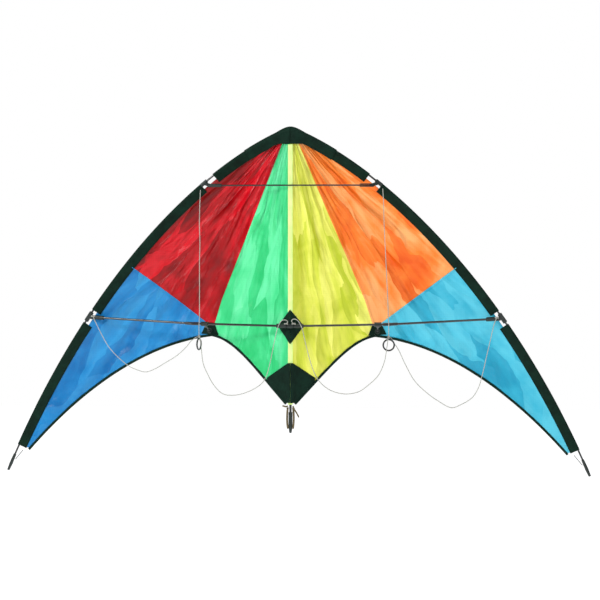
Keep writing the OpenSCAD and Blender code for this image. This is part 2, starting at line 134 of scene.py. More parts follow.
# ---------------------------------------------------------------- folds in the cloth
FOLD_SETS = {
    # angle of the fold seen from the nose, width, depth, where it starts and ends down the sail
    "left": [(4.5, 1.6, 2.0, 60, 520), (9.5, 1.3, -2.2, 40, 430), (15.5, 1.8, 2.6, 60, 460),
             (20.5, 1.2, -1.6, 90, 400), (27.0, 1.4, 3.2, 50, 420), (31.5, 1.2, -3.0, 70, 440),
             (36.0, 1.5, 3.4, 60, 400), (41.0, 1.3, -2.6, 60, 380), (45.5, 1.2, 2.2, 80, 330),
             (50.5, 1.0, -1.6, 50, 260)],
    "right": [(5.5, 1.5, 2.4, 40, 520), (10.5, 1.5, -2.8, 60, 470), (14.0, 1.2, 2.4, 90, 440),
              (19.0, 1.6, -2.4, 60, 430), (25.5, 1.4, 2.6, 60, 400), (30.0, 1.3, -2.8, 90, 420),
              (35.5, 1.6, 3.0, 40, 400), (40.5, 1.2, -2.0, 70, 360), (46.0, 1.3, 2.0, 60, 330),
              (51.0, 1.0, -1.4, 50, 260)],
}


def smooth(a, b, x):
    u = min(1, max(0, (x - a) / (b - a)))
    return u * u * (3 - 2 * u)


def folds(side, x, z, phase):
    """Depth of the folds at a point, mm: broad ones that fan out from the nose, and fine tension lines."""
    ax = abs(x)
    r = math.hypot(ax, z)
    angle = math.degrees(math.atan2(ax, max(-z, 1)))
    total = 0.0
    for centre, width, depth, start, end in FOLD_SETS[side]:
        drift = centre + 1.3 * math.sin(r / 70 + centre)
        across = math.exp(-abs((angle - drift) / width) ** 1.4)
        total += 1.35 * depth * across * smooth(start, start + 90, r) * (1 - smooth(end - 110, end, r))
    ripple = 0.30 * math.sin(ax / 11 + z / 34 + phase) * math.sin(z / 41 - ax / 60 + phase)
    ripple += 0.16 * math.sin(ax / 5.3 - z / 17 + 2 * phase) * math.sin(ax / 23 + z / 19)
    pull = 0.9 * math.sin(angle * 1.9 + 3 * math.sin(r / 120)) * smooth(280, 430, r)
    return total + ripple + pull * 0.8


# ---------------------------------------------------------------- materials
def new_material(name):
    m = bpy.data.materials.new(name)
    m.use_nodes = True
    tree = m.node_tree
    tree.nodes.clear()
    out = tree.nodes.new("ShaderNodeOutputMaterial")
    shader = tree.nodes.new("ShaderNodeBsdfPrincipled")
    tree.links.new(shader.outputs[0], out.inputs[0])
    return m, tree, shader


def node(tree, kind, inputs=(), **settings):
    n = tree.nodes.new("ShaderNode" + kind)
    for key, value in settings.items():
        setattr(n, key, value)
    for key, value in dict(inputs).items():
        if hasattr(value, "is_output"):
            tree.links.new(value, n.inputs[key])
        else:
            n.inputs[key].default_value = value
    return n


def calc(tree, operation, a, b):
    return node(tree, "Math", {0: a, 1: b}, operation=operation).outputs[0]


def mix_colour(tree, factor, a, b):
    return node(tree, "Mix", {"Factor": factor, 6: a, 7: b}, data_type="RGBA").outputs[2]


def linear(c):
    return tuple((v / 12.92 if v <= 0.04045 else ((v + 0.055) / 1.055) ** 2.4) for v in c)


def rgb(r, g, b):
    return linear((r / 255, g / 255, b / 255)) + (1,)


def ramp(tree, fac, stops):
    n = node(tree, "ValToRGB", {"Fac": fac})
    while len(n.color_ramp.elements) < len(stops):
        n.color_ramp.elements.new(0.5)
    for e, (pos, colour) in zip(n.color_ramp.elements, stops):
        e.position = pos
        e.color = colour
    return n.outputs["Color"]


def weave_height(tree, coords, pitch, grid=None):
    """Threads as two crossed waves, and the heavier ripstop grid if there is one."""
    per_metre = 1 / pitch
    waves = []
    for direction in ("X", "Y"):
        w = node(tree, "TexWave", {"Vector": coords, "Scale": per_metre / 2, "Distortion": 0.3},
                 wave_type="BANDS", bands_direction=direction)
        waves.append(w.outputs["Fac"])
    height = calc(tree, "ADD", waves[0], waves[1])
    if grid:
        lines = []
        for direction in ("X", "Y"):
            w = node(tree, "TexWave", {"Vector": coords, "Scale": 1 / grid / 2, "Distortion": 0.1},
                     wave_type="BANDS", bands_direction=direction)
            lines.append(calc(tree, "GREATER_THAN", w.outputs["Fac"], 0.95))
        both = calc(tree, "MAXIMUM", lines[0], lines[1])
        height = calc(tree, "ADD", height, both)
        return height, both
    return height, None


def sail_cloth(name, base, dark, light, rough=0.3):
    """Shiny woven nylon: a ripstop grid, thread bump, colour with painted fold shade and painted reflections,
    and light through the cloth.
    """
    m, tree, s = new_material(name)
    uv = node(tree, "UVMap", uv_map="cloth").outputs[0]
    obj = node(tree, "TexCoord").outputs["Object"]
    height, grid = weave_height(tree, uv, 0.0009, 0.006)
    # painted fold shade: broad noise makes the cloth darker and lighter where folds would shade it or catch
    # light
    mottle_and_fold_shade = node(tree, "TexNoise", {"Vector": obj, "Scale": 14.0, "Detail": 5.0, "Roughness": 0.55,
                                    "Distortion": 0.6})
    fan = node(tree, "UVMap", uv_map="fan").outputs[0]
    # painted fold shade: streaks fanning out from the nose, darker and lighter along the folds
    streak_map = node(tree, "Mapping", {"Vector": fan, "Scale": (15.0, 6.5, 1.0)})
    painted_streak_shade = node(tree, "TexNoise", {"Vector": streak_map.outputs[0], "Scale": 1.0, "Detail": 4.0,
                                     "Distortion": 0.8})
    # painted reflection: the warped facets below give each crumple its own lighter or darker tone, as the sky
    # reflected in it would; their edges also bump the cloth
    warp = node(tree, "TexNoise", {"Vector": fan, "Scale": 7.0, "Detail": 3.0, "Distortion": 0.5})
    bent = node(tree, "VectorMath", {0: warp.outputs["Color"], 1: (0.16, 0.16, 0.0)}, operation="MULTIPLY")
    shifted = node(tree, "VectorMath", {0: fan, 1: bent.outputs[0]}, operation="ADD")
    facet_map = node(tree, "Mapping", {"Vector": shifted.outputs[0], "Scale": (13.0, 5.5, 1.0)})
    facets = node(tree, "TexVoronoi", {"Vector": facet_map.outputs[0], "Scale": 1.0, "Randomness": 1.0})
    painted_facet_reflection = node(tree, "SeparateXYZ", {0: facets.outputs["Color"]}).outputs[0]
    # painted shade and painted reflections together set how dark or light the cloth is drawn
    painted_shade_noise = calc(tree, "ADD", mottle_and_fold_shade.outputs["Fac"], painted_streak_shade.outputs["Fac"])
    painted_shade_part = calc(tree, "MULTIPLY", painted_shade_noise, 0.34)
    painted_reflection_part = calc(tree, "MULTIPLY", painted_facet_reflection, 0.18)
    half = calc(tree, "ADD", painted_shade_part, painted_reflection_part)
    # dark and light are shaded and lit copies of the base colour
    colour = ramp(tree, half, [(0.31, dark), (0.42, base), (0.53, light)])
    gridded = mix_colour(tree, calc(tree, "MULTIPLY", grid, 0.16), colour, dark)
    tree.links.new(gridded, s.inputs["Base Color"])
    s.inputs["Roughness"].default_value = rough
    s.inputs["Specular IOR Level"].default_value = 0.28
    s.inputs["Anisotropic"].default_value = 0.35
    crease = node(tree, "TexNoise", {"Vector": streak_map.outputs[0], "Scale": 1.4, "Detail": 5.0,
                                     "Distortion": 1.4})
    b0 = node(tree, "Bump", {"Height": facets.outputs["Distance"], "Strength": 0.75, "Distance": 0.016})
    b1 = node(tree, "Bump", {"Height": crease.outputs["Fac"], "Strength": 0.35, "Distance": 0.006,
                             "Normal": b0.outputs[0]})
    b2 = node(tree, "Bump", {"Height": height, "Strength": 0.22, "Distance": 0.0002, "Normal": b1.outputs[0]})
    tree.links.new(b2.outputs[0], s.inputs["Normal"])
    through = node(tree, "BsdfTranslucent", {"Color": light, "Normal": b1.outputs[0]})
    mix = node(tree, "MixShader", {0: 0.12})
    tree.links.new(s.outputs[0], mix.inputs[1])
    tree.links.new(through.outputs[0], mix.inputs[2])
    tree.links.new(mix.outputs[0], tree.nodes["Material Output"].inputs[0])
    return m


STITCH_PITCH, STITCH_LENGTH, STITCH_HALF = 0.0036, 0.0025, 0.00045


def heavy_cloth(name, base, light, pitch=0.0012, rough=0.68, stitch=True):
    """Dark woven tape with a visible thread, worn paler along it, and a stitch line beside its edge."""
    m, tree, s = new_material(name)
    uv = node(tree, "UVMap", uv_map="cloth").outputs[0]
    obj = node(tree, "TexCoord").outputs["Object"]
    height, _ = weave_height(tree, uv, pitch)
    mottle_and_fold_shade = node(tree, "TexNoise", {"Vector": obj, "Scale": 45.0, "Detail": 6.0, "Roughness": 0.65})
    colour = ramp(tree, mottle_and_fold_shade.outputs["Fac"], [(0.35, base), (0.75, light)])
    if stitch:
        stitches = node(tree, "UVMap", uv_map="stitch").outputs[0]
        sep = node(tree, "SeparateXYZ", {0: stitches})
        line = node(tree, "Math", {0: sep.outputs[1], 1: 0.00055, 2: STITCH_HALF}, operation="COMPARE")
        along = calc(tree, "FLOORED_MODULO", sep.outputs[0], STITCH_PITCH)
        dash = calc(tree, "LESS_THAN", along, STITCH_LENGTH)
        thread = calc(tree, "MULTIPLY", line.outputs[0], dash)
        colour = mix_colour(tree, calc(tree, "MULTIPLY", thread, 0.5), colour, light)
        height = calc(tree, "ADD", height, calc(tree, "MULTIPLY", thread, 2.0))
    tree.links.new(colour, s.inputs["Base Color"])
    s.inputs["Roughness"].default_value = rough
    s.inputs["Specular IOR Level"].default_value = 0.12
    wrinkle = node(tree, "TexNoise", {"Vector": obj, "Scale": 120.0, "Detail": 3.0})
    b1 = node(tree, "Bump", {"Height": wrinkle.outputs["Fac"], "Strength": 0.25, "Distance": 0.002})
    b2 = node(tree, "Bump", {"Height": height, "Strength": 0.35, "Distance": 0.0003, "Normal": b1.outputs[0]})
    tree.links.new(b2.outputs[0], s.inputs["Normal"])
    return m


def hard(name, base, light, rough, scale=160.0, bump=0.12, coat=0.0, metal=0.0, stretch=(1, 1, 1)):
    """Moulded or pultruded parts: mottled, with fine scratches and varied gloss."""
    m, tree, s = new_material(name)
    obj = node(tree, "TexCoord").outputs["Object"]
    mapped = node(tree, "Mapping", {"Vector": obj, "Scale": stretch}).outputs[0]
    n = node(tree, "TexNoise", {"Vector": mapped, "Scale": scale, "Detail": 6.0, "Roughness": 0.6})
    tree.links.new(ramp(tree, n.outputs["Fac"], [(0.35, base), (0.8, light)]), s.inputs["Base Color"])
    rng = node(tree, "MapRange", {"Value": n.outputs["Fac"], "To Min": rough - 0.08, "To Max": rough + 0.12})
    tree.links.new(rng.outputs[0], s.inputs["Roughness"])
    b = node(tree, "Bump", {"Height": n.outputs["Fac"], "Strength": bump, "Distance": 0.0004})
    tree.links.new(b.outputs[0], s.inputs["Normal"])
    s.inputs["Coat Weight"].default_value = coat
    s.inputs["Metallic"].default_value = metal
    return m


def braid(name, base, dark, pitch=0.0016, rough=0.6):
    """Braided cord: crossed spiral bands in the cord's own coordinates, with painted shade in the grooves
    between strands.
    """
    m, tree, s = new_material(name)
    uv = node(tree, "UVMap", uv_map="cloth").outputs[0]
    bands = []
    for sign in (1, -1):
        turned = node(tree, "Mapping", {"Vector": uv, "Rotation": (0, 0, sign * math.radians(40))})
        w = node(tree, "TexWave", {"Vector": turned.outputs[0], "Scale": 1 / pitch / 2},
                 wave_type="BANDS", bands_direction="X")
        bands.append(w.outputs["Fac"])
    h = calc(tree, "MAXIMUM", bands[0], bands[1])
    # painted shade: the grooves between strands, where both bands are low, take the dark colour
    tree.links.new(ramp(tree, h, [(0.2, dark), (0.7, base)]), s.inputs["Base Color"])
    b = node(tree, "Bump", {"Height": h, "Strength": 0.6, "Distance": 0.0003})
    tree.links.new(b.outputs[0], s.inputs["Normal"])
    s.inputs["Roughness"].default_value = rough
    s.inputs["Sheen Weight"].default_value = 0.3
    return m


# each cloth: its base colour, a darker copy for painted shade and the ripstop grid lines, and a lighter copy
# for painted highlights and the light through the cloth
SAIL = {
    "ripstop_red": sail_cloth("red_nylon", rgb(166, 0, 10), rgb(112, 0, 4), rgb(218, 18, 34)),
    "ripstop_green": sail_cloth("green_nylon", rgb(66, 214, 136), rgb(34, 190, 108), rgb(104, 234, 166)),
    "ripstop_blue": sail_cloth("blue_nylon", rgb(28, 128, 192), rgb(16, 104, 168), rgb(52, 150, 208)),
    "ripstop_yellow": sail_cloth("yellow_nylon", rgb(226, 230, 86), rgb(190, 204, 42), rgb(252, 252, 124)),
    "ripstop_orange": sail_cloth("orange_nylon", rgb(252, 132, 44), rgb(232, 88, 2), rgb(255, 178, 108)),
    "ripstop_cyan": sail_cloth("cyan_nylon", rgb(52, 178, 208), rgb(28, 150, 184), rgb(88, 200, 224)),
}
TRIM = heavy_cloth("dark_dacron", rgb(2, 24, 15), rgb(8, 42, 30))
TAPE = heavy_cloth("spine_tape", rgb(206, 240, 138), rgb(228, 250, 160), pitch=0.001)
ROD = hard("black_rod", rgb(6, 9, 8), rgb(22, 26, 24), 0.3, 60, 0.06, coat=0.4, stretch=(1, 1, 6))
FERRULE = hard("black_ferrule", rgb(5, 7, 7), rgb(20, 24, 24), 0.32, 220, 0.1)
FITTING = hard("moulded_vinyl", rgb(5, 18, 14), rgb(20, 38, 32), 0.45, 260, 0.2)
RING = hard("ring_plastic", rgb(16, 18, 18), rgb(34, 36, 36), 0.28, 240, 0.08, coat=0.3)
CORD = braid("white_braid", rgb(176, 176, 166), rgb(64, 66, 66))
ELASTIC = braid("olive_elastic", rgb(96, 80, 40), rgb(44, 40, 22), pitch=0.002)
BLACK_CORD = braid("black_braid", rgb(40, 42, 40), rgb(12, 12, 12))


# ---------------------------------------------------------------- mesh helpers
def mesh_object(name, verts, faces, uvs=None, stitch=None, material=None, fan=None):
    mesh = bpy.data.meshes.new(name)
    mesh.from_pydata([tuple(v) for v in verts], [], faces)
    for layer, values in (("cloth", uvs), ("stitch", stitch), ("fan", fan)):
        if values is not None:
            uv = mesh.uv_layers.new(name=layer)
            for loop in mesh.loops:
                uv.data[loop.index].uv = values[loop.vertex_index]
    mesh.shade_smooth()
    obj = bpy.data.objects.new(name, mesh)
    bpy.context.scene.collection.objects.link(obj)
    if material:
        mesh.materials.append(material)
    return obj


def cloth_sheet(name, edge_a, edge_b, cols, side, material, thick, off, wrinkle, phase=0.0, keep_edge=(),
                over_spine=0.0):
    """A sheet between two edges in the sail's plane, laid on the sail and creased, with real thickness."""
    sign = SIDES[side]
    rows = len(edge_a)
    verts, uvs, stitch, fan = [], [], [], []
    for i in range(rows):
        width = math.dist(edge_a[i], edge_b[i])
        for j in range(cols + 1):
            u = j / cols
            x, z = lerp(edge_a[i], edge_b[i], u)
            depth = sail_y(x, z) + off - over_spine * (1 - smooth(4, 11, x))
            fade = 1.0
            if "a" in keep_edge:
                fade *= smooth(0, 14, u * width)
            if "b" in keep_edge:
                fade *= smooth(8, 26, (1 - u) * width)
            depth += wrinkle * fade * folds(side, x, z, phase)
            verts.append((sign * x * MM, depth * MM, z * MM))
            uvs.append((x * MM, z * MM))
            fan.append((sign * math.atan2(x, -z), math.hypot(x, z) * MM))
            near = min(u, 1 - u) * width
            stitch.append((z * MM, (near - 1.2) * MM))
    faces = []
    for i in range(rows - 1):
        for j in range(cols):
            a = i * (cols + 1) + j
            quad = (a, a + 1, a + cols + 2, a + cols + 1)
            faces.append(quad if sign > 0 else quad[::-1])
    obj = mesh_object(name, verts, faces, uvs, stitch, material, fan=fan)
    solid = obj.modifiers.new("thickness", "SOLIDIFY")
    solid.thickness = thick * MM
    solid.offset = 0
    return obj


def tube(name, points, radius, material, sides=12):
    """A round tube along points, in metres, with coordinates along and around it."""
    n = len(points)
    pts = [Vector(p) for p in points]
    verts, uvs = [], []
    run = 0.0
    normal = None
    for i, p in enumerate(pts):
        direction = (pts[min(i + 1, n - 1)] - pts[max(i - 1, 0)]).normalized()
        if normal is None:
            normal = direction.orthogonal().normalized()
        normal = (normal - direction * normal.dot(direction)).normalized()
        other = direction.cross(normal)
        if i:
            run += (p - pts[i - 1]).length
        for k in range(sides):
            a = 2 * math.pi * k / sides
            verts.append(p + radius * (math.cos(a) * normal + math.sin(a) * other))
            uvs.append((run, radius * a))
    faces = []
    for i in range(n - 1):
        for k in range(sides):
            a, b = i * sides + k, i * sides + (k + 1) % sides
            faces.append((a, b, b + sides, a + sides))
    faces.append(tuple(range(sides))[::-1])
    faces.append(tuple((n - 1) * sides + k for k in range(sides)))
    return mesh_object(name, verts, faces, uvs, uvs, material)


def curve_points(route, per_span=8):
    """A smooth line through given points (Catmull-Rom)."""
    out = []
    n = len(route)
    for i in range(n - 1):
        p0, p1, p2, p3 = (Vector(route[min(max(k, 0), n - 1)]) for k in (i - 1, i, i + 1, i + 2))
        for s in range(per_span):
            t = s / per_span
            out.append(0.5 * (2 * p1 + (p2 - p0) * t + (2 * p0 - 5 * p1 + 4 * p2 - p3) * t * t
                              + (3 * p1 - p0 - 3 * p2 + p3) * t ** 3))
    out.append(Vector(route[-1]))
    return out


def mirrored(point, sign):
    return (sign * point[0] * MM, point[1] * MM, point[2] * MM)


def finish_piece(obj, body, slot, *nodes):
    if body:
        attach(obj, body)
    if nodes:
        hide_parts(*nodes)
    return obj


# ---------------------------------------------------------------- camera, then cords
CAMERA_AZ, CAMERA_EL, CAMERA_M = math.radians(5.0), math.radians(2.0), 3.8
TARGET = Vector((0.0198, 0.0, -0.3575))
SENSOR, FRAME_M = 36.0, 1.239


def make_camera():
    away = Vector((math.sin(CAMERA_AZ) * math.cos(CAMERA_EL), -math.cos(CAMERA_AZ) * math.cos(CAMERA_EL),
                   math.sin(CAMERA_EL)))
    data = bpy.data.cameras.new("camera")
    data.sensor_width = SENSOR
    data.lens = SENSOR * CAMERA_M / FRAME_M
    camera = bpy.data.objects.new("camera", data)
    camera.location = TARGET + away * CAMERA_M
    camera.rotation_euler = (-away).to_track_quat("-Z", "Y").to_euler()
    bpy.context.scene.collection.objects.link(camera)
    bpy.context.scene.camera = camera


make_camera()

ROUTES = {
    "left_upper_leg": [(-188, 6, -130), (-189, 4, -160), (-190, 4, -200), (-189, 4, -240),
                       (-190, 4, -280), (-190, 4, -320), (-190, 3, -360), (-190, 3, -390),
                       (-191, 2, -412), (-191, 2, -431.4)],
    "right_upper_leg": [(190, 6, -128), (192, 4, -160), (193, 4, -200), (195, 4, -240), (197, 4, -280),
                        (199, 4, -320), (201, 3, -360), (202, 3, -390), (203, 2, -412),
                        (203, 1, -431.4)],
    "left_outer_leg": [(-425, 56, -395), (-420, 46, -402), (-405, 40, -430), (-388, 36, -458),
                       (-367, 32, -480), (-344, 28, -498), (-322, 24, -507), (-305, 21, -510),
                       (-286, 18, -503), (-262, 14, -489), (-238, 10, -474), (-221, 7, -459),
                       (-208, 4, -444), (-194.6, 2, -434.5)],
    "right_outer_leg": [(425, 56, -395), (419, 46, -410), (412, 42, -440), (404, 38, -475),
                        (396, 35, -510), (388, 32, -538), (374, 29, -560), (351, 26, -574),
                        (331, 23, -580), (306, 20, -567), (281, 16, -549), (256, 12, -524),
                        (238, 9, -492), (224, 8, -462), (214, 7, -446), (206.9, 3, -434.2)],
    "left_inner_leg": [(-8, -16.5, -406), (-4, -19, -402), (-8, -21, -398), (-17, -22, -400),
                       (-25, -21, -416), (-33, -19, -450), (-41, -17, -488), (-49, -15, -515),
                       (-61, -12, -532), (-86, -8, -547), (-114, -5, -555), (-140, -2, -553),
                       (-159, 0, -536), (-173, 1, -512), (-182, 0, -490), (-185.5, -1, -462),
                       (-187, -2, -443), (-189.5, -1.6, -433.5)],
    "right_inner_leg": [(8, -16.5, -406), (4, -19, -400), (9, -21, -396), (18, -22, -400),
                        (26, -21, -416), (33, -19, -446), (42, -17, -482), (54, -14, -514),
                        (70, -11, -534), (90, -8, -546), (116, -5, -551), (142, -2, -546),
                        (162, 0, -532), (182, 1, -512), (194, -2, -485), (199, -4, -458),
                        (202, -3, -435)],
}
CORD_D = 1.6
KNOT_R, TIE_R = 0.0019, 0.0034
KNOTS = {"left": (-191, 2, -434), "right": (203, 1, -434)}


KNOT_TURNS, KNOT_STEPS, KNOT_LIFT = 3, 14, 0.55


def knot_at(name, centre, radius, material):
    """A small tight knot: a cord wound round itself."""
    points = []
    steps = KNOT_TURNS * KNOT_STEPS
    for i in range(steps + 1):
        a = 2 * math.pi * i / KNOT_STEPS
        h = (i / steps - 0.5) * 2
        r = radius * (1 + 0.25 * math.cos(a * 1.5)) * math.sqrt(max(0.25, 1 - 0.6 * h * h))
        points.append((centre[0] + r * math.cos(a), centre[1] + r * math.sin(a),
                       centre[2] + h * radius * KNOT_LIFT * 3))
    return tube(name, points, 0.0008, material, 8)


def tie_at(name, centre, radius, material):
    """A cord hitched round a rod: two turns, one over the other."""
    points = []
    for i in range(41):
        a = 4 * math.pi * i / 40
        points.append((centre[0] + radius * math.cos(a), centre[1] + radius * math.sin(a),
                       centre[2] + 0.0016 * (i / 40 - 0.5) * 2 + 0.0012 * math.sin(a / 2)))
    return tube(name, points, CORD_D / 2 * MM, material, 8)


def make_bridles():
    for name, route in ROUTES.items():
        side = name.split("_")[0]
        points = curve_points([tuple(v * MM for v in p) for p in route])
        piece = tube(name + "_cord", points, CORD_D / 2 * MM, CORD, 10)
        if "upper" in name:
            body = side + "_bridle"
            centre = tuple(v * MM for v in KNOTS[side])
            knot = knot_at(side + "_tow_knot", centre, KNOT_R, CORD)
            finish_piece(knot, body, "white_cord")
            finish_piece(piece, body, "white_cord", name)
        else:
            tie = tie_at(name + "_tie", tuple(points[0]), TIE_R, CORD)
            finish_piece(tie, side + "_wing", "white_cord")
            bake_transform(piece)
            finish_piece(piece, None, "white_cord", name)


make_bridles()


# ---------------------------------------------------------------- sail panels
ROWS = 90


def first_seam(u):
    if u < 0.82:
        return lerp(NOSE_CORNER, PANEL_BEND, u / 0.82)
    return lerp(PANEL_BEND, STANDOFF_CORNER, (u - 0.82) / 0.18)


def sleeve_inner(t, over=8.5):
    return beside(t, SLEEVE_W - 3.5 - over)


def inner_far(u):
    corner = 0.72
    if u <= corner:
        v = u / corner
        return first_seam(v / 0.97) if v < 0.97 else lerp(STANDOFF_CORNER, EDGE_CORNER, (v - 0.97) / 0.03)
    return cubic(SCALLOP, (u - corner) / (1 - corner))


def make_panels():
    steps = [i / ROWS for i in range(ROWS + 1)]
    colours = {"left": ("ripstop_green", "ripstop_red", "ripstop_blue"),
               "right": ("ripstop_yellow", "ripstop_orange", "ripstop_cyan")}
    for side, sign in SIDES.items():
        wing = side + "_wing"
        inner_a = [(0.4, NOSE_CLOTH_Z + (KEEL_Z - NOSE_CLOTH_Z) * u) for u in steps]
        inner_b = [inner_far(u) for u in steps]
        middle_a = [first_seam(u) for u in steps]
        middle_b = [sleeve_inner(0.05 + (OUTER_SEAM_AT - 0.05) * u) for u in steps]
        outer_a = [lerp(STANDOFF_CORNER, WING_EDGE[0], u / 0.04) if u < 0.04
                   else cubic(WING_EDGE, (u - 0.04) / 0.96 * 0.995) for u in steps]
        outer_b = [sleeve_inner(OUTER_SEAM_AT + (TIP_END - OUTER_SEAM_AT) * u) for u in steps]
        panels = (("inner", inner_a, inner_b, 44, "ab"), ("middle", middle_a, middle_b, 48, "ab"),
                  ("outer", outer_a, outer_b, 44, "b"))
        for (kind, a, b, cols, keep), slot in zip(panels, colours[side]):
            piece = cloth_sheet(f"{side}_{kind}_cloth", a, b, cols, side, SAIL[slot], SAIL_THICK, 0,
                                1.0, PHASE,
                                keep)
            if kind == "inner":
                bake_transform(piece)
                finish_piece(piece, None, slot, f"{side}_{kind}_panel")
            else:
                finish_piece(piece, wing, slot, f"{side}_{kind}_panel")
        # each seam takes the cloth outside it: the middle panel's, then the outer panel's
        seams = [("first_seam", [first_seam(u) for u in steps], 0.0, colours[side][1]),
                 ("wing_seam", [lerp(STANDOFF_CORNER, sleeve_inner(OUTER_SEAM_AT), u) for u in steps], 1.0,
                  colours[side][2])]
        for label, line, follows, slot in seams:
            dx, dz = line[-1][0] - line[0][0], line[-1][1] - line[0][1]
            size = math.hypot(dx, dz)
            nx, nz = -dz / size * SEAM_HALF, dx / size * SEAM_HALF
            a = [(x - nx, z - nz) for x, z in line]
            b = [(x + nx, z + nz) for x, z in line]
            strip = cloth_sheet(f"{side}_{label}", a, b, 3, side, SAIL[slot], SEAM_THICK, -0.35,
                                follows, PHASE)
            finish_piece(strip, wing, slot)


make_panels()


# ---------------------------------------------------------------- sleeves
# half of a sleeve across the spar: distance inwards, then height
SLEEVE_HALF = [(-3.6, 0.0), (-3.2, -1.7), (-1.8, -3.1), (0.2, -3.6), (3.2, -3.1), (7.5, -2.1), (12.5, -1.4),
               (17.5, -1.0)]
# where each sleeve starts and ends along the spar, and its rows
SLEEVE_SPANS = {"nose_sleeve": (0.015, 0.25, 60), "middle_sleeve": (0.291, 0.664, 110),
                "tip_sleeve": (0.695, 0.954, 90)}


def make_sleeves():
    ring = SLEEVE_HALF + [(d, -h) for d, h in SLEEVE_HALF[:0:-1]]
    for side, sign in SIDES.items():
        for kind, (t0, t1, rows) in SLEEVE_SPANS.items():
            verts, uvs, stitch = [], [], []
            for i in range(rows + 1):
                t = t0 + (t1 - t0) * i / rows
                pucker = 0.35 * math.sin(i * 1.9) + 0.25 * math.sin(i * 0.83 + 1)
                for k, (d, h) in enumerate(ring):
                    x, z = beside(t, d)
                    y = sail_y(x, z) if d > 1 else spar_at(t)[1]
                    y += h * (1 + 0.07 * math.sin(i * 0.7 + d)) + (0.4 * pucker if 3 < d < 16 else 0)
                    verts.append((sign * x * MM, y * MM, z * MM))
                    uvs.append((t * 0.9, d * MM))
                    stitch.append((t * 0.9, (14.3 - d) * MM))
            n = len(ring)
            faces = []
            for i in range(rows):
                for k in range(n):
                    a, b = i * n + k, i * n + (k + 1) % n
                    quad = (a, a + n, b + n, b)
                    faces.append(quad if sign > 0 else quad[::-1])
            for start in (0, rows * n):
                inner = []
                centre = spar_at(t0 if start == 0 else t1)
                for k in range(n):
                    v = Vector(verts[start + k])
                    c = Vector((sign * centre[0] * MM, centre[1] * MM, centre[2] * MM))
                    w = c + (v - c) * 0.8
                    inner.append(len(verts))
                    verts.append(tuple(w))
                    uvs.append(uvs[start + k])
                    stitch.append(stitch[start + k])
                for k in range(n):
                    quad = (start + k, start + (k + 1) % n, inner[(k + 1) % n], inner[k])
                    faces.append(quad if (start == 0) == (sign > 0) else quad[::-1])
                faces.append(tuple(inner) if (start == 0) == (sign > 0) else tuple(inner[::-1]))
            piece = mesh_object(f"{side}_{kind}_cloth", verts, faces, uvs, stitch, TRIM)
            finish_piece(piece, side + "_wing", "black_trim", f"{side}_{kind}")


make_sleeves()


def make_spars():
    for side, sign in SIDES.items():
        points = [mirrored(spar_at(i / 120), sign) for i in range(121)]
        piece = tube(f"{side}_spar_rod", points, SPAR_R * MM, ROD, 16)
        finish_piece(piece, side + "_wing", "black_rod", side + "_spar")


make_spars()


# ---------------------------------------------------------------- nose, tapes and patches
def make_nose():
    """Each half of the heavy nose cloth is one folded piece: front, over the top, and back."""
    end = 0.142
    rows = 40
    profile = [(-4.5, 0), (-3.9, 0.45), (-2.2, 0.85), (1, 1)]
    profile += [(1 + (SLEEVE_W - 3.5) * k / 8, 1) for k in range(1, 9)]
    for side, sign in SIDES.items():
        verts, uvs, stitch, faces = [], [], [], []
        ring = [(d, -h) for d, h in profile[::-1]] + profile[1:]
        n = len(ring)
        for i in range(rows + 1):
            u = i / rows
            t = end * u
            top = beside(max(t, 0.001), -4.6)
            low = beside(max(t, 0.001), SLEEVE_W - 2.5)
            if u < 0.5:
                flat_low = (0.2 + 80 * u, -36.0)
                low = lerp(flat_low, low, smooth(0.2, 0.5, u))
                flat_top = (0.2 + 80 * u, -0.2 - 16 * u * u)
                top = lerp(flat_top, top, smooth(0.0, 0.25, u))
            for d, h in ring:
                v = (d + 4.5) / (SLEEVE_W - 3.5 + 5.5)
                x, z = lerp(top, low, v)
                centre = sail_y(x, z) if d > 4 else lerp((sail_y(x, z),), (spar_at(t)[1],), 0.6)[0]
                centre = lerp((0.0,), (centre,), smooth(0.0, 0.2, u))[0]
                half = 4.3 - 0.9 * smooth(6, 18, d)
                crease = 0.25 * math.sin(x / 5 + z / 3) * smooth(0, 0.2, u)
                verts.append((sign * max(x, 0.1) * MM, (centre + h * half + crease) * MM, z * MM))
                uvs.append((x * MM, z * MM))
                stitch.append((x * MM, min(d + 6, 18.2 - d) * MM))
        for i in range(rows):
            for k in range(n - 1):
                a = i * n + k
                quad = (a, a + 1, a + n + 1, a + n)
                faces.append(quad if sign > 0 else quad[::-1])
        piece = mesh_object(f"{side}_nose_cloth", verts, faces, uvs, stitch, TRIM)
        solid = piece.modifiers.new("thickness", "SOLIDIFY")
        solid.thickness = 0.0006
        solid.offset = 0
        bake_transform(piece)
        finish_piece(piece, None, "black_trim", f"{side}_nose_flap")
        if side == "left":
            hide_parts("nose_cap")


make_nose()


def offset_line(line, d):
    out = []
    for i, (x, z) in enumerate(line):
        a, b = line[max(i - 1, 0)], line[min(i + 1, len(line) - 1)]
        size = math.hypot(b[0] - a[0], b[1] - a[1])
        out.append((x + d * (b[1] - a[1]) / size, z - d * (b[0] - a[0]) / size))
    return out


def make_edge_tapes():
    for side in SIDES:
        inner = [cubic(SCALLOP, i / 60) for i in range(61)]
        outer = [cubic(WING_EDGE, i / 90) for i in range(91)]
        for label, line, d in (("scallop_tape", inner, -TAPE_W), ("wing_tape", outer, TAPE_W)):
            shifted = offset_line(line, d)
            shifted = [(max(x, 0.6), z) for x, z in shifted]
            a, b = (line, shifted) if d < 0 else (shifted, line)
            piece = cloth_sheet(f"{side}_{label}", a, b, 4, side, TRIM, TAPE_THICK, 0, 1.0, PHASE)
            finish_piece(piece, side + "_wing", "black_trim", f"{side}_edge_tape")


make_edge_tapes()


